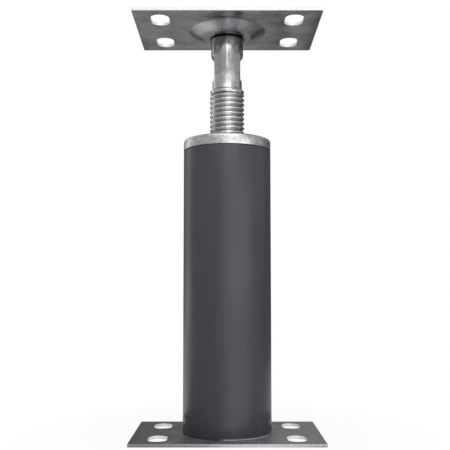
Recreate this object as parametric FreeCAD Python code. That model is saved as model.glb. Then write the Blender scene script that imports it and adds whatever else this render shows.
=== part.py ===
import FreeCAD, Part
import math
import os

# Adjustable steel jack post for a low support: a painted tube on a pressed foot plate,
# a threaded steel cap in the tube's top, and a screw that carries a swivelling head plate.
# Millimetres, +Z up. The origin is the middle of the foot plate's underside, X runs along
# the plates' long side, and the screw stands at about the middle of its travel.

INCH = 25.4

# Pressed plates, one at the foot and one at the head, made in the same tool
plate_length = 6.25 * INCH
plate_depth = 4.0 * INCH
plate_thickness = 2.66
plate_corner_radius = 0.8
slot_width = 0.625 * INCH
slot_length = 1.0 * INCH
slot_spacing_x = 4.5 * INCH
slot_spacing_y = 2.25 * INCH

# Boss pressed into the middle of each plate, towards the post
boss_height = 7.0
boss_seat_diameter = 36.43
boss_crown_radius = 12.0
boss_foot_clearance = 1.5

# Post tube
tube_diameter = 3.0 * INCH
tube_wall = 3.05
tube_length = 243.0
tube_foot_break = 0.5

# Threaded cap: a rim on the tube's end, a spigot in its bore and a hub below
cap_rim_height = 0.375 * INCH
cap_edge_chamfer = 2.0
cap_spigot_length = 8.0
cap_spigot_clearance = 0.15
cap_hub_diameter = 46.0
cap_thread_length = 26.0
cap_mouth_chamfer = 1.2

# Screw. Its thread is rolled on the bar: the crests stand above the bar, the roots below it.
# The solid has the crests' outline, and the cap's bore clears it.
bar_diameter = 28.4
thread_depth = 1.9
thread_length = 120.0
thread_clearance = 0.3

# Screw above its thread: neck, wrench flats, plain shank. The bar widens from the neck's size
# to its full size along the flats.
neck_length = 7.7
neck_relief = 0.15
flats_length = 22.8
flats_across = 23.0
flats_end_radius = 2.5
shank_length = 16.4

# Swivel joint of the head plate: a tenon, a washer and a riveted-over head
tenon_diameter = 0.75 * INCH
swivel_clearance = 0.1
washer_thickness = 2.5
washer_seat_clearance = 1.0
rivet_head_diameter = 25.0
rivet_head_height = 2.0
rivet_head_chamfer = 0.9

# How far the screw stands above its lowest setting, and the gap left under it there
lift_shown = 44.3
lowest_gap = 0.5


# Radii that follow from the sizes above
bar_radius = bar_diameter / 2
crest_radius = bar_radius + thread_depth / 2
root_radius = bar_radius - thread_depth / 2
neck_radius = root_radius - neck_relief
tube_radius = tube_diameter / 2
tube_bore_radius = tube_radius - tube_wall
tenon_radius = tenon_diameter / 2

# Heights that follow, from the foot upwards
tube_foot_z = plate_thickness
tube_top_z = tube_foot_z + tube_length
cap_top_z = tube_top_z + cap_rim_height
cap_bottom_z = cap_top_z - cap_thread_length
thread_top_z = cap_top_z + lowest_gap + lift_shown
thread_bottom_z = thread_top_z - thread_length
flats_bottom_z = thread_top_z + neck_length
flats_top_z = flats_bottom_z + flats_length
shoulder_z = flats_top_z + shank_length
head_boss_z = shoulder_z + swivel_clearance
head_top_z = head_boss_z + boss_height + plate_thickness
washer_z = head_boss_z + plate_thickness + swivel_clearance
rivet_head_z = washer_z + washer_thickness + swivel_clearance


def rounded_outline(corners):
    """Face in the XZ plane through (radius, height, rounding) corners, each rounded as given."""
    points = [FreeCAD.Vector(r, 0, z) for r, z, rounding in corners]
    count = len(points)
    edges = []
    starts = []
    ends = []
    arcs = []
    for i in range(count):
        here = points[i]
        back = (points[i - 1] - here).normalize()
        ahead = (points[(i + 1) % count] - here).normalize()
        rounding = corners[i][2]
        if rounding == 0:
            starts.append(here)
            ends.append(here)
            arcs.append(None)
            continue
        half_angle = back.getAngle(ahead) / 2
        reach = rounding / math.tan(half_angle)
        bisector = (back + ahead).normalize()
        middle = here + bisector * (rounding / math.sin(half_angle) - rounding)
        first = here + back * reach
        last = here + ahead * reach
        starts.append(first)
        ends.append(last)
        arcs.append(Part.Arc(first, middle, last).toShape())
    for i in range(count):
        if arcs[i] is not None:
            edges.append(arcs[i])
        edges.append(Part.LineSegment(ends[i], starts[(i + 1) % count]).toShape())
    return Part.Face(Part.Wire(edges))


def turned(corners):
    """Solid of revolution about Z from (radius, height, rounding) corners."""
    face = rounded_outline(corners)
    return face.revolve(FreeCAD.Vector(0, 0, 0), FreeCAD.Vector(0, 0, 1), 360)


def only_solid(shape):
    """The one solid of a boolean's result, with its split faces joined again."""
    return shape.Solids[0].removeSplitter()


def boss_foot_corner():
    """Radius of the boss's foot on the face side, just inside the tube's bore."""
    return tube_bore_radius - boss_foot_clearance


def half_flank_tangent():
    """Tangent of half the flank's slope, for a flank that runs from the foot to the crown's bend."""
    run = boss_foot_corner() - boss_seat_diameter / 2
    spare = 2 * boss_crown_radius - boss_height
    return (run - math.sqrt(run * run - spare * boss_height)) / spare


def bend_shift(length):
    """Sideways shift of a bent corner when its face is set off by a length."""
    return length * half_flank_tangent()


def boss_crown_corner():
    """Radius where the boss's flank would meet its flat top, before the bend."""
    return boss_seat_diameter / 2 + bend_shift(boss_crown_radius)


def boss_sheet(outer_radius):
    """Round piece of plate with the boss, its underside at z = 0 and the boss pressed upwards."""
    top = boss_height + plate_thickness
    return turned([
        (0, boss_height, 0),
        (boss_crown_corner() - bend_shift(plate_thickness), boss_height, boss_crown_radius - plate_thickness),
        (boss_foot_corner() - bend_shift(plate_thickness), 0, 0),
        (outer_radius, 0, 0),
        (outer_radius, plate_thickness, 0),
        (boss_foot_corner(), plate_thickness, 0),
        (boss_crown_corner(), top, boss_crown_radius),
        (0, top, 0),
    ])


def slot_cutter(x, y):
    """Obround hole through the plate, long along Y."""
    radius = slot_width / 2
    straight = slot_length / 2 - radius
    depth = 3 * plate_thickness
    low_corner = FreeCAD.Vector(x - radius, y - straight, -plate_thickness)
    cutter = Part.makeBox(slot_width, 2 * straight, depth, low_corner)
    for end_y in (y - straight, y + straight):
        round_end = Part.makeCylinder(radius, depth, FreeCAD.Vector(x, end_y, -plate_thickness))
        cutter = cutter.fuse(round_end)
    return cutter


def pressed_plate():
    """Plate with four slots and the boss pressed upwards, its underside at z = 0."""
    sheet = Part.makeBox(plate_length, plate_depth, plate_thickness,
                         FreeCAD.Vector(-plate_length / 2, -plate_depth / 2, 0))
    corners = [e for e in sheet.Edges if abs(e.Vertexes[0].Z - e.Vertexes[1].Z) > plate_thickness / 2]
    sheet = sheet.makeFillet(plate_corner_radius, corners)
    disc_radius = tube_bore_radius
    sheet = sheet.cut(Part.makeCylinder(disc_radius, plate_thickness))
    sheet = sheet.fuse(boss_sheet(disc_radius))
    for x in (-slot_spacing_x / 2, slot_spacing_x / 2):
        for y in (-slot_spacing_y / 2, slot_spacing_y / 2):
            sheet = sheet.cut(slot_cutter(x, y))
    return only_solid(sheet)


def base_plate():
    """Foot plate, with its boss standing up into the tube's bore."""
    return pressed_plate()


def top_plate():
    """Head plate: the same pressing turned over, with a hole for the screw's tenon."""
    plate = pressed_plate()
    plate.rotate(FreeCAD.Vector(0, 0, 0), FreeCAD.Vector(1, 0, 0), 180)
    plate.translate(FreeCAD.Vector(0, 0, head_top_z))
    hole_radius = tenon_radius + swivel_clearance
    hole = Part.makeCylinder(hole_radius, 3 * plate_thickness,
                             FreeCAD.Vector(0, 0, head_boss_z - plate_thickness))
    return only_solid(plate.cut(hole))


def post_tube():
    """Round tube, the outer edge of its foot lightly broken."""
    return turned([
        (tube_bore_radius, tube_foot_z, 0),
        (tube_radius - tube_foot_break, tube_foot_z, 0),
        (tube_radius, tube_foot_z + tube_foot_break, 0),
        (tube_radius, tube_top_z, 0),
        (tube_bore_radius, tube_top_z, 0),
    ])


def threaded_cap():
    """Turned cap: rim on the tube, spigot in its bore, and a hub bored for the screw."""
    bore = crest_radius + thread_clearance
    mouth = bore + cap_mouth_chamfer
    spigot_radius = tube_bore_radius - cap_spigot_clearance
    spigot_bottom_z = tube_top_z - cap_spigot_length
    return turned([
        (bore, cap_bottom_z, 0),
        (cap_hub_diameter / 2, cap_bottom_z, 0),
        (cap_hub_diameter / 2, spigot_bottom_z, 0),
        (spigot_radius, spigot_bottom_z, 0),
        (spigot_radius, tube_top_z, 0),
        (tube_radius, tube_top_z, 0),
        (tube_radius, cap_top_z - cap_edge_chamfer, 0),
        (tube_radius - cap_edge_chamfer, cap_top_z, 0),
        (mouth, cap_top_z, 0),
        (bore, cap_top_z - cap_mouth_chamfer, 0),
    ])


def wrench_flat(side):
    """Cutter for one wrench flat, on the -X (-1) or +X (1) side, with round ends."""
    inside = side * flats_across / 2
    outside = side * bar_diameter
    face = rounded_outline([
        (inside, flats_bottom_z, flats_end_radius),
        (outside, flats_bottom_z, 0),
        (outside, flats_top_z, 0),
        (inside, flats_top_z, flats_end_radius),
    ])
    face.translate(FreeCAD.Vector(0, -bar_diameter, 0))
    return face.extrude(FreeCAD.Vector(0, 2 * bar_diameter, 0))


def jack_screw():
    """Screw in one piece: threaded length, neck, wrench flats, shank, tenon and riveted head."""
    point = crest_radius - neck_radius
    screw = turned([
        (0, thread_bottom_z, 0),
        (neck_radius, thread_bottom_z, 0),
        (crest_radius, thread_bottom_z + point, 0),
        (crest_radius, thread_top_z - point, 0),
        (neck_radius, thread_top_z, 0),
        (neck_radius, flats_bottom_z, 0),
        (bar_radius, flats_top_z, 0),
        (bar_radius, shoulder_z, 0),
        (tenon_radius, shoulder_z, 0),
        (tenon_radius, rivet_head_z, 0),
        (rivet_head_diameter / 2, rivet_head_z, 0),
        (rivet_head_diameter / 2, rivet_head_z + rivet_head_height - rivet_head_chamfer, 0),
        (rivet_head_diameter / 2 - rivet_head_chamfer, rivet_head_z + rivet_head_height, 0),
        (0, rivet_head_z + rivet_head_height, 0),
    ])
    for side in (-1, 1):
        screw = screw.cut(wrench_flat(side))
    return only_solid(screw)


def swivel_washer():
    """Washer between the head plate's recess and the screw's riveted head."""
    inner = tenon_radius + swivel_clearance
    outer = boss_seat_diameter / 2 - washer_seat_clearance
    return turned([
        (inner, washer_z, 0),
        (outer, washer_z, 0),
        (outer, washer_z + washer_thickness, 0),
        (inner, washer_z + washer_thickness, 0),
    ])


parts = {
    "base_plate": base_plate(),
    "post_tube": post_tube(),
    "threaded_cap": threaded_cap(),
    "jack_screw": jack_screw(),
    "swivel_washer": swivel_washer(),
    "top_plate": top_plate(),
}

os.makedirs("parts", exist_ok=True)
for name, shape in parts.items():
    shape.exportStep("parts/" + name + ".step")
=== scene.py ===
import bpy
import math
from bpy.props import FloatProperty, FloatVectorProperty, PointerProperty
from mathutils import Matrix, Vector


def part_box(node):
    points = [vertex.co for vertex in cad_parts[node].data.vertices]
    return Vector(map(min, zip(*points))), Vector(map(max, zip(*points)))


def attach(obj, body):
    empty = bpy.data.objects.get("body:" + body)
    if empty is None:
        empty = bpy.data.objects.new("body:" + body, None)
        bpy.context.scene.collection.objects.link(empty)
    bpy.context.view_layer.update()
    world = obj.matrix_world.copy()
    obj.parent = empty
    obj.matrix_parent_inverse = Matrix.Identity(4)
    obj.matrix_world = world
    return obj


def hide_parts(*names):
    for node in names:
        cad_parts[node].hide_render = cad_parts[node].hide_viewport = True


# Dresses the adjustable jack post: two pressed steel plates, an enamelled tube, a turned cap,
# the screw with its rolled thread, and the washer hidden in the head plate's recess.
# Metres, +Z up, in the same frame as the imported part.

bl_info = {
    "name": "Adjustable Jack Post",
    "version": (1, 0, 0),
    "blender": (4, 5, 0),
    "location": "View3D > Sidebar > Jack Post",
    "description": "Models and finishes an adjustable steel jack post round its packed solids",
    "category": "Add Mesh",
}

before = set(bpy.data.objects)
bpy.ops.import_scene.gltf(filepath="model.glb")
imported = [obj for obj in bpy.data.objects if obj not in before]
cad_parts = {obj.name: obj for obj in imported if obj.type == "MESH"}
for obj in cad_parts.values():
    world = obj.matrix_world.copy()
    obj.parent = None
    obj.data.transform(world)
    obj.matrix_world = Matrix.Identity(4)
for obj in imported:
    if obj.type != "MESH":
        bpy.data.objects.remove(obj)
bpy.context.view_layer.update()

MM = 0.001
INCH = 25.4 * MM
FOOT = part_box("base_plate")
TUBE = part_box("post_tube")
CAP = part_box("threaded_cap")
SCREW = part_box("jack_screw")
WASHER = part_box("swivel_washer")
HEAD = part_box("top_plate")

# The screw's shoulder stands a hair under the head plate's boss, which rests on it
SHOULDER_Z = HEAD[0][2] - 0.1 * MM

MERGE_DISTANCE = 0.002 * MM
ROUND_SIDES = 128
THREAD_SIDES = 96
THREAD_ROWS = 14
BEND_STEPS = 8

# Darkening on the head plate, in mm: middle X, middle Y, dark within, clean beyond, and its tone.
# Painted shade in a ring round the screw and in its run to the near side, then a grease smear and a thumbed
# blot
GREASE = ((0, 0, 14.4, 17, 0.25), (2, -10, 10, 15, 0.45), (7, -43, 3, 11, 0.7), (27, -5, 4, 9, 0.55))

# Soft lamps: name, then azimuth, distance and height of the place, height faced, width, length, watts
LAMPS = (
    ("front_softbox", 27, 0.95, 0.24, 0.24, 1.35, 0.52, 2.35),
    ("upper_softbox", 14, 0.9, 0.95, 0.28, 0.45, 0.5, 2.2),
    ("high_strip", -1, 1.2, 0.95, 0.3, 0.1, 0.62, 0.7),
    ("top_softbox", 0, 0.69, 1.28, 0.3, 1.4, 1.5, 8),
    ("left_strip", -119, 0.8, 0.3, 0.22, 0.22, 0.9, 0.5),
)
# Dark cards: azimuth, distance and height of the place, width, height and tone
CARDS = ((136, 1.1, 0.4, 1.1, 1.0, 0.12), (-157, 1.1, 0.4, 0.5, 1.0, 0.15))

# The photograph's camera, fitted to the tube and the foot plate, which were seen from close by
FOCAL_PIXELS = 738
PHOTO_PIXELS = 450
SENSOR_WIDTH = 36.0
CAMERA_SHIFT = 0.03
CAMERA_PLACE = (-0.0019, -0.644, 0.1236)
CAMERA_PITCH = 4.05

# Settings that several nodes share
SMOOTH = {"interpolation_type": "SMOOTHSTEP"}
MULTIPLY = {"data_type": "RGBA", "blend_type": "MULTIPLY"}


def srgb(code):
    """sRGB triple from a hex code."""
    return tuple(int(code[i:i + 2], 16) / 255 for i in (0, 2, 4))


def linear(colour):
    """Linear RGBA from an sRGB triple."""
    steps = [c / 12.92 if c <= 0.04045 else ((c + 0.055) / 1.055) ** 2.4 for c in colour]
    return (*steps, 1.0)


class PlateSizes(bpy.types.PropertyGroup):
    """Sizes of the pressed plates at the foot and the head."""
    thickness: FloatProperty(
        name="Sheet Thickness", description="Thickness of the plates' sheet",
        default=2.66 * MM, unit="LENGTH", precision=5)
    corner_radius: FloatProperty(
        name="Corner Radius", description="Radius of the plates' sheared corners",
        default=0.8 * MM, unit="LENGTH", precision=5)
    slot_width: FloatProperty(
        name="Slot Width", description="Width of each punched slot",
        default=0.625 * INCH, unit="LENGTH", precision=5)
    slot_length: FloatProperty(
        name="Slot Length", description="Length of each punched slot, end to end",
        default=1.0 * INCH, unit="LENGTH", precision=5)
    slot_spacing_x: FloatProperty(
        name="Slot Spacing Across", description="Distance between slots along the long side",
        default=4.5 * INCH, unit="LENGTH", precision=5)
    slot_spacing_y: FloatProperty(
        name="Slot Spacing Deep", description="Distance between slots along the short side",
        default=2.25 * INCH, unit="LENGTH", precision=5)
    boss_foot: FloatProperty(
        name="Boss Foot Radius", description="Radius of the corner at the boss's foot",
        default=33.55 * MM, unit="LENGTH", precision=5)
    boss_flank: FloatProperty(
        name="Boss Flank Angle", description="Slope of the boss's flank",
        default=math.radians(30), subtype="ANGLE")
    foot_bend: FloatProperty(
        name="Foot Bend", description="Radius of the bend at the boss's foot",
        default=4.5 * MM, unit="LENGTH", precision=5)
    crown_bend: FloatProperty(
        name="Crown Bend", description="Radius of the bend at the boss's crown",
        default=12.0 * MM, unit="LENGTH", precision=5)
    edge_round: FloatProperty(
        name="Edge Rounding", description="Rounding of the sheared and punched edges",
        default=0.3 * MM, unit="LENGTH", precision=5)
    swivel_hole: FloatProperty(
        name="Swivel Hole Radius", description="Radius of the hole for the screw's tenon",
        default=9.625 * MM, unit="LENGTH", precision=5)


class TubeSizes(bpy.types.PropertyGroup):
    """Sizes of the post tube."""
    wall: FloatProperty(
        name="Wall", description="Wall thickness of the tube",
        default=3.05 * MM, unit="LENGTH", precision=5)
    top_round: FloatProperty(
        name="Top Rounding", description="Rounding of the tube's painted upper edge",
        default=1.0 * MM, unit="LENGTH", precision=5)
    bare_foot: FloatProperty(
        name="Bare Foot", description="Height of the tube's bare ground edge at its foot",
        default=0.9 * MM, unit="LENGTH", precision=5)


class CapSizes(bpy.types.PropertyGroup):
    """Sizes of the threaded cap."""
    rim_round: FloatProperty(
        name="Rim Rounding", description="Rounding of the cap's upper edge",
        default=2.4 * MM, unit="LENGTH", precision=5)
    under_round: FloatProperty(
        name="Under Rounding", description="Break at the cap's lower edge, above the tube",
        default=0.5 * MM, unit="LENGTH", precision=5)
    spigot_length: FloatProperty(
        name="Spigot Length", description="Length of the spigot in the tube",
        default=8.0 * MM, unit="LENGTH", precision=5)
    spigot_clearance: FloatProperty(
        name="Spigot Clearance", description="Gap round the spigot",
        default=0.15 * MM, unit="LENGTH", precision=5)
    hub_radius: FloatProperty(
        name="Hub Radius", description="Radius of the hub below the spigot",
        default=23.0 * MM, unit="LENGTH", precision=5)
    bore_radius: FloatProperty(
        name="Bore Radius", description="Radius of the bore at the thread",
        default=15.45 * MM, unit="LENGTH", precision=5)
    mouth_round: FloatProperty(
        name="Mouth Countersink", description="Countersink at the mouth of the bore",
        default=1.2 * MM, unit="LENGTH", precision=5)


class ScrewSizes(bpy.types.PropertyGroup):
    """Sizes of the screw."""
    bar_radius: FloatProperty(
        name="Bar Radius", description="Radius of the plain bar",
        default=14.2 * MM, unit="LENGTH", precision=5)
    crest_radius: FloatProperty(
        name="Crest Radius", description="Radius at the thread's crests",
        default=15.15 * MM, unit="LENGTH", precision=5)
    root_radius: FloatProperty(
        name="Root Radius", description="Radius at the thread's roots",
        default=13.25 * MM, unit="LENGTH", precision=5)
    pitch: FloatProperty(
        name="Pitch", description="Rise of the thread in one turn",
        default=INCH / 6, unit="LENGTH", precision=6)
    thread_length: FloatProperty(
        name="Thread Length", description="Length of the rolled thread",
        default=120.0 * MM, unit="LENGTH", precision=5)
    neck_length: FloatProperty(
        name="Neck Length", description="Length of the neck above the thread",
        default=7.7 * MM, unit="LENGTH", precision=5)
    neck_radius: FloatProperty(
        name="Neck Radius", description="Radius of the neck above the thread",
        default=13.1 * MM, unit="LENGTH", precision=5)
    root_sharpness: FloatProperty(
        name="Root Sharpness", description="How narrow the roots are beside the crests",
        default=1.7, min=1.0, max=4.0)
    collar_length: FloatProperty(
        name="Collar Length", description="Plain collar where the thread runs out",
        default=4.3 * MM, unit="LENGTH", precision=5)
    flats_length: FloatProperty(
        name="Flats Length", description="Length of the wrench flats",
        default=22.8 * MM, unit="LENGTH", precision=5)
    flats_across: FloatProperty(
        name="Across Flats", description="Distance across the wrench flats",
        default=23.0 * MM, unit="LENGTH", precision=5)
    flats_round: FloatProperty(
        name="Flats End Radius", description="Radius where a flat runs out",
        default=2.5 * MM, unit="LENGTH", precision=5)
    tenon_radius: FloatProperty(
        name="Tenon Radius", description="Radius of the tenon in the head plate",
        default=9.525 * MM, unit="LENGTH", precision=5)
    rivet_height: FloatProperty(
        name="Rivet Height", description="Height of the riveted-over end",
        default=2.0 * MM, unit="LENGTH", precision=5)
    edge_round: FloatProperty(
        name="Edge Rounding", description="Rounding of the shank's edges",
        default=0.5 * MM, unit="LENGTH", precision=5)


class FinishColours(bpy.types.PropertyGroup):
    """Colours of the finishes, as sRGB."""
    enamel: FloatVectorProperty(
        name="Enamel", description="Dark grey enamel of the tube",
        default=srgb("44464C"), subtype="COLOR_GAMMA", min=0, max=1)
    scale_steel: FloatVectorProperty(
        name="Plate Steel", description="Oiled mill finish of the plates",
        default=srgb("999A9C"), subtype="COLOR_GAMMA", min=0, max=1)
    cut_steel: FloatVectorProperty(
        name="Cut Steel", description="Bare steel at sheared edges",
        default=srgb("CFD0D1"), subtype="COLOR_GAMMA", min=0, max=1)
    cap_steel: FloatVectorProperty(
        name="Turned Steel", description="Turned and zinc plated steel of the cap",
        default=srgb("D5D6D7"), subtype="COLOR_GAMMA", min=0, max=1)
    screw_steel: FloatVectorProperty(
        name="Screw Steel", description="Drawn bar and rolled thread",
        default=srgb("BDBEBF"), subtype="COLOR_GAMMA", min=0, max=1)


def begin():
    """Leaves edit mode and lets go of everything that is selected."""
    if bpy.context.object and bpy.context.object.mode != "OBJECT":
        bpy.ops.object.mode_set(mode="OBJECT")
    bpy.ops.object.select_all(action="DESELECT")


def only(piece):
    """Makes a piece the one selected and active object."""
    begin()
    piece.select_set(True)
    bpy.context.view_layer.objects.active = piece


def named(name):
    """Names the active object and its mesh."""
    piece = bpy.context.object
    piece.name = name
    piece.data.name = name
    return piece


def pick_edges(piece, test):
    """Selects in edit mode the edges whose two ends pass a test, and nothing else."""
    bpy.ops.object.mode_set(mode="EDIT")
    bpy.ops.mesh.select_mode(type="EDGE")
    bpy.ops.mesh.select_all(action="DESELECT")
    bpy.ops.object.mode_set(mode="OBJECT")
    points = piece.data.vertices
    for edge in piece.data.edges:
        edge.select = test(*(points[i].co for i in edge.vertices))
    bpy.ops.object.mode_set(mode="EDIT")


def merge_doubles():
    """Merges doubled points all over the mesh that is being edited."""
    bpy.ops.mesh.select_all(action="SELECT")
    bpy.ops.mesh.remove_doubles(threshold=MERGE_DISTANCE)


def apply_modifier(piece, kind, **settings):
    """Adds a modifier with its settings and applies it."""
    modifier = piece.modifiers.new(kind.title(), kind)
    for key, value in settings.items():
        setattr(modifier, key, value)
    only(piece)
    bpy.ops.object.modifier_apply(modifier=modifier.name)


def clean(piece, angle=35.0):
    """Merges doubled points, turns the faces outwards and shades smooth below an angle."""
    only(piece)
    bpy.ops.object.mode_set(mode="EDIT")
    merge_doubles()
    bpy.ops.mesh.normals_make_consistent(inside=False)
    bpy.ops.object.mode_set(mode="OBJECT")
    bpy.ops.object.transform_apply(location=True, rotation=True, scale=True)
    bpy.ops.object.shade_smooth_by_angle(angle=math.radians(angle))


def arc(centre_r, centre_z, radius, start, end, steps):
    """Points of a round corner in a turned outline, angles in degrees from the outward direction."""
    points = []
    for i in range(steps + 1):
        a = math.radians(start + (end - start) * i / steps)
        points.append((centre_r + radius * math.cos(a), centre_z + radius * math.sin(a)))
    return points


def draw(name, outline):
    """Draws a chain of (radius, height) points in the XZ plane by extruding one point along it."""
    begin()
    bpy.ops.mesh.primitive_plane_add(size=MM, location=(0, 0, 0))
    piece = named(name)
    bpy.ops.object.mode_set(mode="EDIT")
    bpy.ops.mesh.select_mode(type="VERT")
    bpy.ops.mesh.select_all(action="SELECT")
    bpy.ops.mesh.merge(type="CENTER")
    last_r, last_z = outline[0]
    bpy.ops.transform.translate(value=(last_r, 0, last_z))
    for r, z in outline[1:]:
        step = (r - last_r, 0, z - last_z)
        bpy.ops.mesh.extrude_region_move(TRANSFORM_OT_translate={"value": step})
        last_r, last_z = r, z
    bpy.ops.object.mode_set(mode="OBJECT")
    return piece


def turn(name, outline, closed=True):
    """Turns an outline of (radius, height) points about Z. Screw puts its faces in the same order each
    run, which Spin doesn't."""
    piece = draw(name, outline + ([outline[0]] if closed else []))
    apply_modifier(piece, "SCREW", angle=math.tau, screw_offset=0.0, iterations=1, steps=ROUND_SIDES,
                   render_steps=ROUND_SIDES, use_merge_vertices=True, merge_threshold=MERGE_DISTANCE,
                   axis="Z")
    return piece


def obround(x, y, size_x, size_y, radius, segments):
    """Adds a flat outline with rounded corners at z = 0 to the mesh that is being edited."""
    bpy.ops.mesh.select_all(action="DESELECT")
    bpy.ops.mesh.primitive_plane_add(size=1, location=(x, y, 0))
    bpy.ops.transform.resize(value=(size_x, size_y, 1), center_override=(x, y, 0))
    bpy.ops.mesh.bevel(offset=radius, segments=segments, affect="VERTICES", clamp_overlap=False)
    bpy.ops.mesh.delete(type="ONLY_FACE")


def boss_outline(sizes, start_radius):
    """Outline of the boss's outer face, from its middle out to the flat sheet at height 0."""
    flat_rim = 1.5 * MM
    lean = math.degrees(sizes.boss_flank)
    height = FOOT[1][2] - sizes.thickness
    shift = math.tan(sizes.boss_flank / 2)
    crown_corner = sizes.boss_foot - height / math.tan(sizes.boss_flank)
    crown_start = crown_corner - sizes.crown_bend * shift
    foot_end = sizes.boss_foot + sizes.foot_bend * shift
    outline = [(start_radius, height)]
    outline += arc(crown_start, height - sizes.crown_bend, sizes.crown_bend, 90, 90 - lean, BEND_STEPS)
    outline += arc(foot_end, sizes.foot_bend, sizes.foot_bend, 270 - lean, 270, BEND_STEPS)
    outline += [(foot_end + flat_rim, 0)]
    return outline


def pressed_plate(name, sizes, hole_radius):
    """Sheet with slots and a pressed boss, lying on z = 0 with its boss upwards, as at the foot."""
    outline = boss_outline(sizes, hole_radius)
    disc_edge = outline[-1][0] - MERGE_DISTANCE
    piece = turn(name, outline, closed=False)
    only(piece)
    bpy.ops.object.mode_set(mode="EDIT")
    merge_doubles()
    length = FOOT[1][0] - FOOT[0][0]
    depth = FOOT[1][1] - FOOT[0][1]
    obround(0, 0, length, depth, sizes.corner_radius, 4)
    for x in (-sizes.slot_spacing_x / 2, sizes.slot_spacing_x / 2):
        for y in (-sizes.slot_spacing_y / 2, sizes.slot_spacing_y / 2):
            obround(x, y, sizes.slot_width, sizes.slot_length, sizes.slot_width / 2, 12)
    merge_doubles()

    def round_flat_sheet(*ends):
        return all(math.hypot(p.x, p.y) > disc_edge and abs(p.z) < MERGE_DISTANCE for p in ends)

    pick_edges(piece, round_flat_sheet)
    bpy.ops.mesh.fill(use_beauty=True)
    bpy.ops.mesh.select_all(action="SELECT")
    bpy.ops.mesh.normals_make_consistent(inside=False)
    bpy.ops.object.mode_set(mode="OBJECT")
    if min(face.normal.z for face in piece.data.polygons) < 0:
        bpy.ops.object.mode_set(mode="EDIT")
        bpy.ops.mesh.select_all(action="SELECT")
        bpy.ops.mesh.flip_normals()
        bpy.ops.object.mode_set(mode="OBJECT")
    apply_modifier(piece, "SOLIDIFY", thickness=sizes.thickness, offset=-1, use_even_offset=True)
    bpy.ops.object.mode_set(mode="EDIT")
    bpy.ops.mesh.select_all(action="SELECT")
    bpy.ops.transform.translate(value=(0, 0, sizes.thickness))
    bpy.ops.mesh.dissolve_limited(angle_limit=math.radians(0.5))
    bpy.ops.object.mode_set(mode="OBJECT")
    apply_modifier(piece, "BEVEL", width=sizes.edge_round, segments=3, limit_method="ANGLE",
                   angle_limit=math.radians(50))
    clean(piece)
    return piece


def finish_plate(plate, node, body, sheet, sheared):
    """Gives a pressed plate its three materials and its place on the frame."""
    plate.data.materials.clear()
    for material in (sheet, sheared, punched_material()):
        plate.data.materials.append(material)
    wall_tilt = 0.35
    inside_x = FOOT[1][0] - 1.0 * MM
    inside_y = FOOT[1][1] - 1.0 * MM
    for face in plate.data.polygons:
        if abs(face.normal.z) < wall_tilt:
            punched = abs(face.center.x) < inside_x and abs(face.center.y) < inside_y
            face.material_index = 2 if punched else 1
    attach(plate, body)
    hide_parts(node)


class JACKPOST_OT_foot_plate(bpy.types.Operator):
    """Foot plate, pressed from sheet with its boss up into the tube"""
    bl_idname = "jackpost.foot_plate"
    bl_label = "Foot Plate"

    def execute(self, context):
        plate = pressed_plate("foot_plate_sheet", context.scene.jackpost_plate, 0.0)
        colours = context.scene.jackpost_finish
        # Painted reflection darkens the foot plate's sheet towards -X
        sheet = plate_material(colours, drained=-0.3, dullness=1.0, greasy=False)
        # The foot's sheared edges are painted darker than the head's, as painted shade
        sheared = cut_material(colours, freshness=0.72, metal=1.0)
        finish_plate(plate, "base_plate", "post", sheet, sheared)
        return {"FINISHED"}


class JACKPOST_OT_head_plate(bpy.types.Operator):
    """Head plate, the same pressing turned over, with the tenon's hole through its boss"""
    bl_idname = "jackpost.head_plate"
    bl_label = "Head Plate"

    def execute(self, context):
        sizes = context.scene.jackpost_plate
        plate = pressed_plate("head_plate_sheet", sizes, sizes.swivel_hole)
        only(plate)
        bpy.ops.transform.rotate(value=math.pi, orient_axis="X", center_override=(0, 0, 0))
        bpy.ops.transform.translate(value=(0, 0, HEAD[1][2]))
        clean(plate)
        colours = context.scene.jackpost_finish
        # The head's sheet gets painted shade round the swivel, with grease smears
        sheet = plate_material(colours, drained=0.0, dullness=0.0, greasy=True)
        # The head's sheared edges are painted lighter than the foot's, as painted light
        sheared = cut_material(colours, freshness=1.7, metal=0.0)
        finish_plate(plate, "top_plate", "head", sheet, sheared)
        return {"FINISHED"}


class JACKPOST_OT_tube(bpy.types.Operator):
    """Enamelled tube, its upper edge round under the paint and its foot cut bare"""
    bl_idname = "jackpost.tube"
    bl_label = "Post Tube"

    def execute(self, context):
        sizes = context.scene.jackpost_tube
        low, high = TUBE
        radius = high[0]
        bore = radius - sizes.wall
        foot = sizes.bare_foot
        top = sizes.top_round
        # The ground edge: a flat foot, a chamfer, the bare band, and the step up to the paint
        outline = [(bore, low[2]), (radius - foot / 2, low[2]), (radius - foot / 4, low[2] + foot / 4),
                   (radius - foot / 8, low[2] + foot), (radius, low[2] + foot * 1.3)]
        outline += arc(radius - top, high[2] - top, top, 0, 90, 5)
        outline += [(bore, high[2])]
        tube = turn("tube_skin", outline)
        clean(tube, 50)
        tube.data.materials.append(enamel_material(context.scene.jackpost_finish))
        tube.data.materials.append(bare_edge_material(context.scene.jackpost_finish))
        for face in tube.data.polygons:
            away = math.hypot(face.center.x, face.center.y)
            if face.center.z < low[2] + foot * 1.1 and away > radius - foot:
                face.material_index = 1
        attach(tube, "post")
        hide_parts("post_tube")
        return {"FINISHED"}


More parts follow.
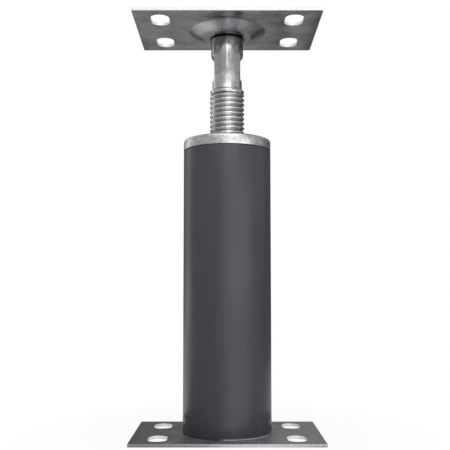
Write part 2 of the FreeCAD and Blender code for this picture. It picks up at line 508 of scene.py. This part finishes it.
class JACKPOST_OT_cap(bpy.types.Operator):
    """Turned cap: rim on the tube, spigot in its bore, hub bored for the screw"""
    bl_idname = "jackpost.cap"
    bl_label = "Threaded Cap"

    def execute(self, context):
        sizes = context.scene.jackpost_cap
        low, high = CAP
        radius = high[0]
        seat = TUBE[1][2]
        spigot = radius - context.scene.jackpost_tube.wall - sizes.spigot_clearance
        step = seat - sizes.spigot_length
        rim = sizes.rim_round
        under = sizes.under_round
        outline = [(sizes.bore_radius, low[2]), (sizes.hub_radius, low[2]), (sizes.hub_radius, step),
                   (spigot, step), (spigot, seat)]
        outline += arc(radius - under, seat + under, under, -90, 0, 3)
        outline += arc(radius - rim, high[2] - rim, rim, 0, 90, 8)
        outline += [(sizes.bore_radius + sizes.mouth_round, high[2]),
                    (sizes.bore_radius, high[2] - sizes.mouth_round)]
        cap = turn("cap_turning", outline)
        clean(cap, 30)
        cap.data.materials.append(cap_material(context.scene.jackpost_finish))
        cap.data.materials.append(enamel_material(context.scene.jackpost_finish))
        # Painted shade: the faces in the seam under the rim take the dark enamel
        for face in cap.data.polygons:
            if seat < face.center.z < seat + under:
                face.material_index = 1
        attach(cap, "post")
        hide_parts("threaded_cap")
        return {"FINISHED"}


def screw_heights(sizes):
    """Heights along the screw: bottom, thread top, flats bottom, flats top, shoulder, top."""
    bottom = SCREW[0][2]
    thread_top = bottom + sizes.thread_length
    flats_bottom = thread_top + sizes.neck_length
    return bottom, thread_top, flats_bottom, flats_bottom + sizes.flats_length, SHOULDER_Z, SCREW[1][2]


def shank(sizes):
    """Turned bar from the thread's core up to the riveted end, without its thread and flats."""
    bottom, thread_top, flats_bottom, flats_top, shoulder, top = screw_heights(sizes)
    edge = sizes.edge_round
    core = sizes.root_radius - 0.25 * MM
    chamfer = 1.5 * MM
    collar = sizes.crest_radius
    collar_low = thread_top - sizes.collar_length
    run_in = 0.6 * MM
    run_up = 0.9 * MM
    lip = 1.4 * MM
    lip_drop = 0.2 * MM
    fillet = 1.2 * MM
    rivet_low = top - sizes.rivet_height
    rivet_radius = 12.5 * MM
    rivet_edge = 1.1 * MM
    rivet_crown = 0.2 * MM
    hammered = 5.0 * MM
    outline = [(0, bottom), (core - chamfer, bottom), (core, bottom + chamfer)]
    outline += [(core, collar_low), (collar - run_in, collar_low + run_up)]
    outline += arc(collar - lip, thread_top - lip - lip_drop, lip, 20, 80, 5)
    outline += arc(sizes.neck_radius + fillet, thread_top + fillet, fillet, 260, 180, 4)
    outline += [(sizes.neck_radius, flats_bottom), (sizes.bar_radius, flats_top)]
    outline += arc(sizes.bar_radius - edge, shoulder - edge, edge, 0, 90, 4)
    outline += [(sizes.tenon_radius, shoulder), (sizes.tenon_radius, rivet_low), (rivet_radius, rivet_low)]
    outline += arc(rivet_radius - rivet_edge, top - rivet_edge - rivet_crown, rivet_edge, 0, 70, 4)
    outline += [(hammered, top - rivet_crown / 4), (0, top)]
    piece = turn("screw_bar", outline, closed=False)
    clean(piece, 40)
    return piece


def cut_flats(piece, sizes):
    """Mills the two wrench flats, each with round run-outs, on the -X and +X sides."""
    _, _, low, high, _, _ = screw_heights(sizes)
    reach = 6.0 * MM
    breadth = 40.0 * MM
    for side in (-1, 1):
        begin()
        flat = side * sizes.flats_across / 2
        bpy.ops.mesh.primitive_cube_add(size=1, location=(flat + side * reach, 0, (low + high) / 2),
                                        scale=(2 * reach, breadth, high - low))
        cutter = named("flat_cutter")
        bpy.ops.object.transform_apply(location=True, rotation=False, scale=True)

        def ends_of_flat(a, b):
            return a.z == b.z and all(abs(p.x - flat) < MERGE_DISTANCE for p in (a, b))

        pick_edges(cutter, ends_of_flat)
        bpy.ops.mesh.bevel(offset=sizes.flats_round, segments=6, affect="EDGES")
        bpy.ops.object.mode_set(mode="OBJECT")
        clean(cutter)
        apply_modifier(piece, "BOOLEAN", operation="DIFFERENCE", solver="EXACT", object=cutter)
        bpy.data.objects.remove(cutter)
    apply_modifier(piece, "BEVEL", width=0.18 * MM, segments=2, limit_method="ANGLE",
                   angle_limit=math.radians(28))


def close_end(piece, near, height):
    """Closes one open end of the thread's skin with a fan to a point on the axis."""
    only(piece)
    bpy.ops.object.mode_set(mode="EDIT")
    bpy.ops.mesh.select_mode(type="EDGE")
    bpy.ops.mesh.select_all(action="DESELECT")
    bpy.ops.mesh.select_non_manifold(extend=False, use_wire=False, use_multi_face=False,
                                     use_non_contiguous=False, use_verts=False)
    bpy.ops.object.mode_set(mode="OBJECT")
    for e in piece.data.edges:
        if e.select and not all(near(piece.data.vertices[i].co) for i in e.vertices):
            e.select = False
    bpy.ops.object.mode_set(mode="EDIT")
    bpy.ops.mesh.edge_face_add()
    bpy.ops.mesh.poke()
    bpy.ops.object.mode_set(mode="OBJECT")
    piece.data.vertices[-1].co = (0, 0, height)


def rolled_thread(sizes):
    """Right-hand rolled thread: one pitch of its wave drawn upright and screwed round the axis."""
    bottom, thread_top, _, _, _, _ = screw_heights(sizes)
    depth = sizes.crest_radius - sizes.root_radius
    start = bottom + 1.6 * MM
    end = thread_top - sizes.collar_length * 0.35
    turns = int((end - start) / sizes.pitch) - 1
    outline = []
    for i in range(THREAD_ROWS + 1):
        share = i / THREAD_ROWS
        dip = ((1 - math.cos(math.tau * share)) / 2) ** sizes.root_sharpness
        outline.append((sizes.crest_radius - depth * dip, start + sizes.pitch * share))
    piece = draw("thread_wave", outline)
    apply_modifier(piece, "SCREW", angle=math.tau, screw_offset=sizes.pitch, iterations=turns,
                   steps=THREAD_SIDES, render_steps=THREAD_SIDES, use_merge_vertices=True,
                   merge_threshold=MERGE_DISTANCE, axis="Z")
    only(piece)
    bpy.ops.object.mode_set(mode="EDIT")
    merge_doubles()
    bpy.ops.object.mode_set(mode="OBJECT")
    ends = ((start, lambda p: p.z < start + 1.3 * sizes.pitch),
            (start + turns * sizes.pitch, lambda p: p.z > start + (turns - 0.3) * sizes.pitch))
    for height, near in ends:
        close_end(piece, near, height + sizes.pitch / 2)
    clean(piece, 60)
    return piece


class JACKPOST_OT_screw(bpy.types.Operator):
    """Screw in one piece: rolled thread, neck, wrench flats, shank, tenon and riveted end"""
    bl_idname = "jackpost.screw"
    bl_label = "Screw"

    def execute(self, context):
        sizes = context.scene.jackpost_screw
        bar = shank(sizes)
        cut_flats(bar, sizes)
        thread = rolled_thread(sizes)
        apply_modifier(bar, "BOOLEAN", operation="UNION", solver="EXACT", object=thread)
        bpy.data.objects.remove(thread)
        fewest_faces = 10000
        if len(bar.data.polygons) < fewest_faces:
            raise RuntimeError("the thread didn't join the bar")
        clean(bar, 40)
        flat = sizes.flats_across / 2
        sideways = 0.999
        for face in bar.data.polygons:
            if abs(abs(face.center.x) - flat) < MERGE_DISTANCE and abs(face.normal.x) > sideways:
                face.use_smooth = False
        bar.data.materials.clear()
        bar.data.materials.append(screw_material(context.scene.jackpost_finish, sizes))
        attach(bar, "screw")
        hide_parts("jack_screw")
        return {"FINISHED"}


class JACKPOST_OT_washer(bpy.types.Operator):
    """Washer in the head plate's recess, under the screw's riveted end"""
    bl_idname = "jackpost.washer"
    bl_label = "Swivel Washer"

    def execute(self, context):
        low, high = WASHER
        inner = context.scene.jackpost_plate.swivel_hole
        edge = 0.35 * MM
        outline = [(inner, low[2]), (high[0], low[2])]
        outline += arc(high[0] - edge, high[2] - edge, edge, 0, 90, 3)
        outline += [(inner, high[2])]
        washer = turn("washer_disc", outline)
        clean(washer)
        washer.data.materials.append(cap_material(context.scene.jackpost_finish))
        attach(washer, "swivel")
        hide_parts("swivel_washer")
        return {"FINISHED"}


def add(tree, kind, sockets=(), stops=(), **settings):
    """Adds a node. Settings go to its own properties or to inputs of that name. Sockets are the other
    inputs, by name or number or in their order: a node or its output is linked, and anything else is
    set. Stops are a colour ramp's (position, colour)."""
    node = tree.nodes.new(kind)
    for key, value in settings.items():
        if key in node.inputs:
            node.inputs[key].default_value = value
        else:
            setattr(node, key, value)
    if not isinstance(sockets, dict):
        sockets = dict(enumerate(sockets))
    for socket, value in sockets.items():
        if isinstance(value, bpy.types.Node):
            value = next(output for output in value.outputs if output.enabled)
        if isinstance(value, bpy.types.NodeSocket):
            tree.links.new(value, node.inputs[socket])
        else:
            node.inputs[socket].default_value = value
    if stops:
        elements = node.color_ramp.elements
        while len(elements) < len(stops):
            elements.new(0.5)
        for element, (position, colour) in zip(elements, stops):
            element.position = position
            element.color = colour
    return node


def grey(value):
    """Plain grey RGBA for masks and roughness."""
    return (value, value, value, 1.0)


def shade(colour, factor):
    """An RGBA colour made lighter or darker."""
    return tuple(min(1.0, c * factor) for c in colour[:3]) + (1.0,)


def new_material(name):
    """Empty node material, its tree, and the object coordinates in metres."""
    material = bpy.data.materials.new(name)
    material.use_nodes = True
    tree = material.node_tree
    tree.nodes.clear()
    return material, tree, add(tree, "ShaderNodeTexCoord").outputs["Object"]


def coated(material, shader):
    """Puts a finished shader on a material's surface."""
    add(material.node_tree, "ShaderNodeOutputMaterial", {"Surface": shader})
    return material


def distance_from_axis(tree, place, x=0.0, y=0.0):
    """Distance of a place from an upright axis, the post's own unless told."""
    level = add(tree, "ShaderNodeMapping", [place], Location=(-x, -y, 0.0), Scale=(1.0, 1.0, 0.0))
    return add(tree, "ShaderNodeVectorMath", [level], operation="LENGTH")


def plate_material(colours, drained, dullness, greasy):
    """Hot rolled sheet, pickled and oiled: dull grey with cloudy patches, and a painted highlight ring on
    the boss's flank. Its tone slopes across X as painted reflection, darker towards +X for a slope above 0
    and towards -X for one below 0; a trodden plate is duller (0 to 1); and the head's plate has painted
    shade round the swivel, with grease smears beside it."""
    material, tree, place = new_material("pickled_oiled_sheet")
    base = linear(colours.scale_steel)

    # Cloudy oil film, with a painted reflection added to it as a slope across the plate
    clouds = add(tree, "ShaderNodeTexNoise", {"Vector": place},
                 Scale=1 / (18 * MM), Detail=3.0, Roughness=0.6)
    across = add(tree, "ShaderNodeSeparateXYZ", [place]).outputs["X"]
    film = add(tree, "ShaderNodeMath", [across, -drained / FOOT[1][0], clouds], operation="MULTIPLY_ADD")
    cloudy = add(tree, "ShaderNodeValToRGB", [film],
                 stops=[(0.3, shade(base, 0.62)), (0.55, base), (0.75, shade(base, 1.15))])

    # Pickled grain, about 0.1 mm on real sheet and drawn coarser to show
    grain = add(tree, "ShaderNodeTexNoise", {"Vector": place},
                Scale=1 / (0.9 * MM), Detail=2.0, Roughness=0.6)
    grainy = add(tree, "ShaderNodeValToRGB", [grain],
                 stops=[(0.3, grey(0.9 - 0.2 * dullness)), (0.7, grey(1.0))])
    colour = add(tree, "ShaderNodeMix", {0: 1.0, 6: cloudy, 7: grainy}, **MULTIPLY)

    # Painted highlight: a ring on the boss's flank made lighter, standing in for the light it catches
    away = distance_from_axis(tree, place)
    inner = add(tree, "ShaderNodeMapRange", [away, 22.0 * MM, 27.0 * MM, 1.0, 1.45], **SMOOTH)
    outer = add(tree, "ShaderNodeMapRange", [away, 31.5 * MM, 34.0 * MM, 1.45, 1.0], **SMOOTH)
    rubbed = add(tree, "ShaderNodeMath", [inner, outer], operation="MINIMUM")
    colour = add(tree, "ShaderNodeMix", {0: 1.0, 6: colour, 7: rubbed}, **MULTIPLY)

    # Painted shade round the screw and its run to the near side, then two grease smears
    for x, y, dark_within, clean_beyond, tone in GREASE if greasy else ():
        blot = distance_from_axis(tree, place, x * MM, y * MM)
        mask = add(tree, "ShaderNodeMapRange",
                   [blot, dark_within * MM, clean_beyond * MM, tone, 1.0], **SMOOTH)
        colour = add(tree, "ShaderNodeMix", {0: 1.0, 6: colour, 7: mask}, **MULTIPLY)

    # Marks of the rolls along X
    stretch = add(tree, "ShaderNodeMapping", [place], Scale=(0.3, 1.0, 1.0))
    rolled = add(tree, "ShaderNodeTexNoise", {"Vector": stretch}, Scale=1 / (1.5 * MM), Detail=2.0)
    smoothest = 0.22 + 0.2 * dullness
    rough = add(tree, "ShaderNodeValToRGB", [rolled],
                stops=[(0.3, grey(smoothest)), (0.7, grey(smoothest + 0.09))])
    bump = add(tree, "ShaderNodeBump", {"Height": rolled}, Strength=0.06, Distance=0.02 * MM)
    return coated(material, add(
        tree, "ShaderNodeBsdfPrincipled",
        {"Base Color": colour, "Roughness": rough, "Normal": bump, "Specular Tint": grey(0.55)},
        Metallic=0.85 - 0.2 * dullness))


def cut_material(colours, freshness, metal):
    """Sheared steel: bright, with fine lines down through the sheet's thickness. Its colour is made lighter
    or darker by a factor, as painted light, and one with a matt face shows less metal (0 to 1)."""
    material, tree, place = new_material("sheared_steel")
    # Painted light: the colour scaled lighter or darker
    base = shade(linear(colours.cut_steel), freshness)
    squeeze = add(tree, "ShaderNodeMapping", [place], Scale=(1.0, 1.0, 0.08))
    lines = add(tree, "ShaderNodeTexNoise", {"Vector": squeeze}, Scale=1 / (0.6 * MM), Detail=2.0)
    colour = add(tree, "ShaderNodeValToRGB", [lines],
                 stops=[(0.3, shade(base, 0.9 - 0.2 * metal)), (0.7, base)])
    bump = add(tree, "ShaderNodeBump", {"Height": lines}, Strength=0.4 * metal, Distance=0.03 * MM)
    return coated(material, add(tree, "ShaderNodeBsdfPrincipled", {"Base Color": colour, "Normal": bump},
                                Metallic=metal, Roughness=0.42))


def punched_material():
    """Walls of the punched slots: steel painted near white, as painted light, with faint lines through the
    sheet.
    """
    material, tree, place = new_material("punched_steel")
    squeeze = add(tree, "ShaderNodeMapping", [place], Scale=(1.0, 1.0, 0.08))
    lines = add(tree, "ShaderNodeTexNoise", {"Vector": squeeze}, Scale=1 / (0.8 * MM), Detail=1.0)
    # Painted light: near white, so the walls read brightly lit
    colour = add(tree, "ShaderNodeValToRGB", [lines],
                 stops=[(0.3, linear(srgb("EEEEEE"))), (0.7, linear(srgb("FAFAFA")))])
    return coated(material, add(tree, "ShaderNodeBsdfPrincipled", {"Base Color": colour},
                                Metallic=0.2, Roughness=0.5))


def bare_edge_material(colours):
    """Ground edge at the tube's foot: pale bare steel, partly a painted highlight, turning to enamel
    towards -X.
    """
    material, tree, place = new_material("ground_bare_edge")
    mist = add(tree, "ShaderNodeTexNoise", {"Vector": place}, Scale=1 / (15 * MM), Detail=1.0)
    across = add(tree, "ShaderNodeSeparateXYZ", [place]).outputs["X"]
    # The pale edge, partly a painted highlight, fades into enamel towards -X
    spray = add(tree, "ShaderNodeMath", [across, 0.012 / MM, mist], operation="MULTIPLY_ADD")
    colour = add(tree, "ShaderNodeValToRGB", [spray],
                 stops=[(0.27, linear(colours.enamel)), (0.45, linear(colours.cut_steel))])
    return coated(material, add(tree, "ShaderNodeBsdfPrincipled", {"Base Color": colour},
                                Metallic=0.2, Roughness=0.5))


def enamel_material(colours):
    """Sprayed satin enamel on steel: a soft sheen with fine orange peel and the spray's upright passes."""
    material, tree, place = new_material("satin_enamel")
    base = linear(colours.enamel)
    drift = add(tree, "ShaderNodeTexNoise", {"Vector": place},
                Scale=1 / (40 * MM), Detail=3.0, Roughness=0.55)
    tone = add(tree, "ShaderNodeValToRGB", [drift],
               stops=[(0.3, shade(base, 0.96)), (0.7, shade(base, 1.08))])
    upright = add(tree, "ShaderNodeMapping", [place], Scale=(1.0, 1.0, 0.04))
    passes = add(tree, "ShaderNodeTexNoise", {"Vector": upright}, Scale=1 / (5 * MM), Detail=1.0)
    streaks = add(tree, "ShaderNodeValToRGB", [passes], stops=[(0.3, grey(0.9)), (0.7, grey(1.0))])
    colour = add(tree, "ShaderNodeMix", {0: 1.0, 6: tone, 7: streaks}, **MULTIPLY)
    rough = add(tree, "ShaderNodeValToRGB", [passes], stops=[(0.3, grey(0.27)), (0.7, grey(0.34))])
    peel = add(tree, "ShaderNodeTexNoise", {"Vector": place}, Scale=1 / (1.8 * MM), Detail=1.0)
    bump = add(tree, "ShaderNodeBump", {"Height": peel}, Strength=0.3, Distance=0.03 * MM)
    return coated(material, add(tree, "ShaderNodeBsdfPrincipled",
                                {"Base Color": colour, "Roughness": rough, "Normal": bump}, IOR=1.45))


def cap_material(colours):
    """Turned steel with a thin zinc plate: bright, with the lathe tool's rings round it."""
    material, tree, place = new_material("turned_zinc_plate")
    base = linear(colours.cap_steel)
    # A real cut feeds about 0.2 mm a turn, and its rings are drawn coarser to show
    rings = add(tree, "ShaderNodeMapping", [place], Scale=(0.04, 0.04, 1.0))
    lathe = add(tree, "ShaderNodeTexNoise", {"Vector": rings}, Scale=1 / (0.7 * MM), Detail=3.0)
    blotch = add(tree, "ShaderNodeTexNoise", {"Vector": place},
                 Scale=1 / (3.5 * MM), Detail=4.0, Roughness=0.65)
    colour = add(tree, "ShaderNodeValToRGB", [blotch], stops=[(0.35, shade(base, 0.68)), (0.58, base)])
    rough = add(tree, "ShaderNodeValToRGB", [lathe], stops=[(0.3, grey(0.28)), (0.7, grey(0.42))])
    bump = add(tree, "ShaderNodeBump", {"Height": lathe}, Strength=0.35, Distance=0.03 * MM)
    return coated(material, add(tree, "ShaderNodeBsdfPrincipled",
                                {"Base Color": colour, "Roughness": rough, "Normal": bump}, Metallic=1.0))


def screw_material(colours, sizes):
    """Drawn bar with a rolled thread: bright steel with faint lines along it, duller below the flats and
    painted paler there as a painted highlight, with painted shade in the thread's roots and in the seam at
    the shoulder."""
    material, tree, place = new_material("drawn_bar_steel")
    base = linear(colours.screw_steel)
    _, thread_top, flats_bottom, _, shoulder, _ = screw_heights(sizes)
    height = add(tree, "ShaderNodeSeparateXYZ", [place]).outputs["Z"]
    stain = add(tree, "ShaderNodeTexNoise", {"Vector": place},
                Scale=1 / (5 * MM), Detail=4.0, Roughness=0.65)
    steel = add(tree, "ShaderNodeValToRGB", [stain], stops=[(0.3, shade(base, 0.8)), (0.6, base)])

    # Painted shade in the thread's roots, and none above the thread
    away = distance_from_axis(tree, place)
    crests = add(tree, "ShaderNodeMapRange",
                 [away, sizes.root_radius, sizes.root_radius + 1.1 * MM, 0.72, 1.0], **SMOOTH)
    plain = add(tree, "ShaderNodeMapRange",
                [height, thread_top - 2.0 * MM, thread_top - 1.5 * MM, 0.0, 1.0], **SMOOTH)
    clear = add(tree, "ShaderNodeMath", [crests, plain], operation="MAXIMUM")
    colour = add(tree, "ShaderNodeMix", {0: 1.0, 6: steel, 7: clear}, **MULTIPLY)

    # Painted shade in the seam between the shoulder and the head plate
    above = add(tree, "ShaderNodeMath", [height, shoulder], operation="SUBTRACT")
    off = add(tree, "ShaderNodeMath", [above], operation="ABSOLUTE")
    greasy = add(tree, "ShaderNodeMapRange", [off, 0.7 * MM, 1.6 * MM, 0.12, 1.0], **SMOOTH)
    colour = add(tree, "ShaderNodeMix", {0: 1.0, 6: colour, 7: greasy}, **MULTIPLY)

    # The neck and the thread, duller than the bar above them and painted paler as a painted highlight, with
    # a wavy border
    wavy = add(tree, "ShaderNodeMath", [stain, -8.0 * MM, height], operation="MULTIPLY_ADD")
    worked = add(tree, "ShaderNodeMapRange",
                 [wavy, flats_bottom + 0.4 * MM, flats_bottom + 2.4 * MM, 1.0, 0.0], **SMOOTH)
    bright = add(tree, "ShaderNodeMath", [worked, 0.2, 1.0], operation="MULTIPLY_ADD")
    colour = add(tree, "ShaderNodeMix", {0: 1.0, 6: colour, 7: bright}, **MULTIPLY)

    # Lines of the drawing die, about 0.2 mm apart on a real bar and drawn coarser to show
    along = add(tree, "ShaderNodeMapping", [place], Scale=(1.0, 1.0, 0.05))
    lines = add(tree, "ShaderNodeTexNoise", {"Vector": along}, Scale=1 / (0.8 * MM), Detail=2.0)
    drawn = add(tree, "ShaderNodeValToRGB", [lines], stops=[(0.3, grey(0.17)), (0.7, grey(0.24))])
    rough = add(tree, "ShaderNodeMath", [worked, 0.07, drawn], operation="MULTIPLY_ADD")
    bump = add(tree, "ShaderNodeBump", {"Height": lines}, Strength=0.05, Distance=0.02 * MM)
    return coated(material, add(tree, "ShaderNodeBsdfPrincipled",
                                {"Base Color": colour, "Roughness": rough, "Normal": bump}, Metallic=1.0))


def around(azimuth, distance, height):
    """Point at an azimuth in degrees from the camera's side, positive to the right."""
    a = math.radians(azimuth)
    return (distance * math.sin(a), -distance * math.cos(a), height)


def soft_lamp(name, place, target, width, length, watts):
    """Rectangular studio lamp that faces a point."""
    begin()
    bpy.ops.object.light_add(type="AREA", location=place)
    lamp = bpy.context.object
    lamp.name = name
    lamp.data.shape = "RECTANGLE"
    lamp.data.size = width
    lamp.data.size_y = length
    lamp.data.energy = watts
    lamp.visible_camera = False
    lamp.rotation_euler = (Vector(target) - Vector(place)).to_track_quat("-Z", "Y").to_euler()


def dark_card(place, width, height, tone):
    """Dark card behind the view, seen only in reflections, that gives the steel its darker side."""
    begin()
    bpy.ops.mesh.primitive_plane_add(size=1, location=place)
    card = named("dark_card")
    card.scale = (width, height, 1)
    card.rotation_euler = (Vector((0, 0, place[2])) - Vector(place)).to_track_quat("Z", "Y").to_euler()
    bpy.ops.object.transform_apply(location=True, rotation=True, scale=True)
    material, tree, _ = new_material("black_card")
    card.data.materials.append(
        coated(material, add(tree, "ShaderNodeEmission", Color=grey(tone), Strength=1.0)))
    card.visible_camera = False
    card.visible_shadow = False
    card.visible_diffuse = False


def floor_material():
    """Pale matt paint. The camera sees it white, a touch greyer round the foot, and the steel mirrors
    strips of light and dark in it, as from a studio's panels, set by their bearing from the post."""
    material, tree, place = new_material("pale_floor_paint")
    path = add(tree, "ShaderNodeLightPath")
    matte = add(tree, "ShaderNodeBsdfDiffuse", Color=linear(srgb("F2F2F2")))
    white = add(tree, "ShaderNodeEmission", Color=grey(1.0), Strength=1.0)
    far = add(tree, "ShaderNodeVectorMath", [place], operation="LENGTH")
    whiteness = add(tree, "ShaderNodeMapRange", [far, 0.07, 0.22, 0.92, 1.0], **SMOOTH)
    share = add(tree, "ShaderNodeMath", [path.outputs["Is Camera Ray"], whiteness], operation="MULTIPLY")
    seen = add(tree, "ShaderNodeMixShader", [share, matte, white])

    apart = add(tree, "ShaderNodeSeparateXYZ", [place])
    away = add(tree, "ShaderNodeMath", [apart.outputs["Y"]], operation="ABSOLUTE")
    bearing = add(tree, "ShaderNodeMath", [apart.outputs["X"], away], operation="DIVIDE")

    # Behind the post: one bright strip on the left, dimmer beside it, and dark on the right
    near_left = add(tree, "ShaderNodeMapRange", [bearing, -1.2, -0.7, 1.0, 0.6], **SMOOTH)
    far_left = add(tree, "ShaderNodeMapRange", [bearing, -5.0, -3.0, 0.5, 1.0], **SMOOTH)
    left = add(tree, "ShaderNodeMath", [near_left, far_left], operation="MINIMUM")
    right = add(tree, "ShaderNodeMapRange", [apart.outputs["X"], 0.1, 0.35, 1.0, 0.25], **SMOOTH)
    behind = add(tree, "ShaderNodeMath", [left, right], operation="MULTIPLY")

    # In front: one bright strip right of the camera
    rise = add(tree, "ShaderNodeMapRange", [bearing, -0.5, 0.3, 0.45, 1.4], **SMOOTH)
    fall = add(tree, "ShaderNodeMapRange", [bearing, 0.6, 2.0, 1.4, 0.55], **SMOOTH)
    in_front = add(tree, "ShaderNodeMath", [rise, fall], operation="MINIMUM")

    depth = add(tree, "ShaderNodeMapRange", [apart.outputs["Y"], 0.0, 0.05, 0.0, 1.0], **SMOOTH)
    strength = add(tree, "ShaderNodeMix", {0: depth, 2: in_front, 3: behind}, data_type="FLOAT")
    mirrored = add(tree, "ShaderNodeEmission", {"Strength": strength}, Color=grey(1.0))
    above = add(tree, "ShaderNodeMixShader", [path.outputs["Is Glossy Ray"], seen, mirrored])

    # Clear from below, so that the foot's underside can be looked at
    backfacing = add(tree, "ShaderNodeNewGeometry").outputs["Backfacing"]
    clear = add(tree, "ShaderNodeBsdfTransparent")
    return coated(material, add(tree, "ShaderNodeMixShader", [backfacing, above, clear]))


def pale_floor():
    """Wide round floor just under the foot plate."""
    begin()
    bpy.ops.mesh.primitive_circle_add(vertices=96, radius=6.0, fill_type="NGON",
                                     location=(0, 0, -0.05 * MM))
    floor = named("pale_floor")
    bpy.ops.object.mode_set(mode="EDIT")
    bpy.ops.mesh.select_all(action="SELECT")
    bpy.ops.mesh.inset(thickness=5.0)
    bpy.ops.object.mode_set(mode="OBJECT")
    floor.data.materials.append(floor_material())


def studio_room(scene):
    """World of the studio: white to the camera, mid grey in the steel and dim as fill light."""
    world = bpy.data.worlds.new("studio")
    scene.world = world
    world.use_nodes = True
    tree = world.node_tree
    tree.nodes.clear()
    path = add(tree, "ShaderNodeLightPath")
    dim, walls, white = (add(tree, "ShaderNodeBackground", Color=grey(tone), Strength=1.0)
                         for tone in (0.22, 0.5, 1.0))
    room = add(tree, "ShaderNodeMixShader", [path.outputs["Is Glossy Ray"], dim, walls])
    seen = add(tree, "ShaderNodeMixShader", [path.outputs["Is Camera Ray"], room, white])
    add(tree, "ShaderNodeOutputWorld", {"Surface": seen})


def view_camera(scene):
    """Camera at the photograph's place and angle."""
    camera = bpy.data.objects.new("view_camera", bpy.data.cameras.new("view_camera"))
    scene.collection.objects.link(camera)
    camera.data.sensor_width = SENSOR_WIDTH
    camera.data.lens = FOCAL_PIXELS / PHOTO_PIXELS * SENSOR_WIDTH
    camera.data.shift_y = CAMERA_SHIFT
    camera.location = CAMERA_PLACE
    camera.rotation_euler = (math.radians(90 + CAMERA_PITCH), 0, 0)
    camera.data.clip_start = 0.01
    camera.data.clip_end = 50
    camera.data.dof.use_dof = False
    scene.camera = camera


class JACKPOST_OT_stage(bpy.types.Operator):
    """Pale floor, soft lamps and the camera"""
    bl_idname = "jackpost.stage"
    bl_label = "Stage"

    def execute(self, context):
        pale_floor()
        studio_room(context.scene)
        for name, azimuth, distance, height, faced, width, length, watts in LAMPS:
            soft_lamp(name, around(azimuth, distance, height), (0, 0, faced), width, length, watts)
        for azimuth, distance, height, wide, high, tone in CARDS:
            dark_card(around(azimuth, distance, height), wide, high, tone)
        view_camera(context.scene)
        context.scene.view_settings.view_transform = "Standard"
        return {"FINISHED"}


GROUPS = {"jackpost_plate": PlateSizes, "jackpost_tube": TubeSizes, "jackpost_cap": CapSizes,
          "jackpost_screw": ScrewSizes, "jackpost_finish": FinishColours}
STEPS = (JACKPOST_OT_foot_plate, JACKPOST_OT_head_plate, JACKPOST_OT_tube, JACKPOST_OT_cap,
         JACKPOST_OT_screw, JACKPOST_OT_washer, JACKPOST_OT_stage)


class VIEW3D_PT_jack_post(bpy.types.Panel):
    """Sizes, colours and steps of the jack post"""
    bl_label = "Jack Post"
    bl_idname = "VIEW3D_PT_jack_post"
    bl_space_type = "VIEW_3D"
    bl_region_type = "UI"
    bl_category = "Jack Post"

    def draw(self, context):
        for name, kind in GROUPS.items():
            box = self.layout.box()
            for key in kind.__annotations__:
                box.prop(getattr(context.scene, name), key)
        for step in STEPS:
            self.layout.operator(step.bl_idname)


def register():
    for kind in (*GROUPS.values(), *STEPS, VIEW3D_PT_jack_post):
        bpy.utils.register_class(kind)
    for name, group in GROUPS.items():
        setattr(bpy.types.Scene, name, PointerProperty(type=group))


def unregister():
    for name in GROUPS:
        delattr(bpy.types.Scene, name)
    for kind in reversed((*GROUPS.values(), *STEPS, VIEW3D_PT_jack_post)):
        bpy.utils.unregister_class(kind)


def main():
    register()
    bpy.ops.jackpost.foot_plate()
    bpy.ops.jackpost.head_plate()
    bpy.ops.jackpost.tube()
    bpy.ops.jackpost.cap()
    bpy.ops.jackpost.screw()
    bpy.ops.jackpost.washer()
    bpy.ops.jackpost.stage()


if __name__ == "__main__":
    main()
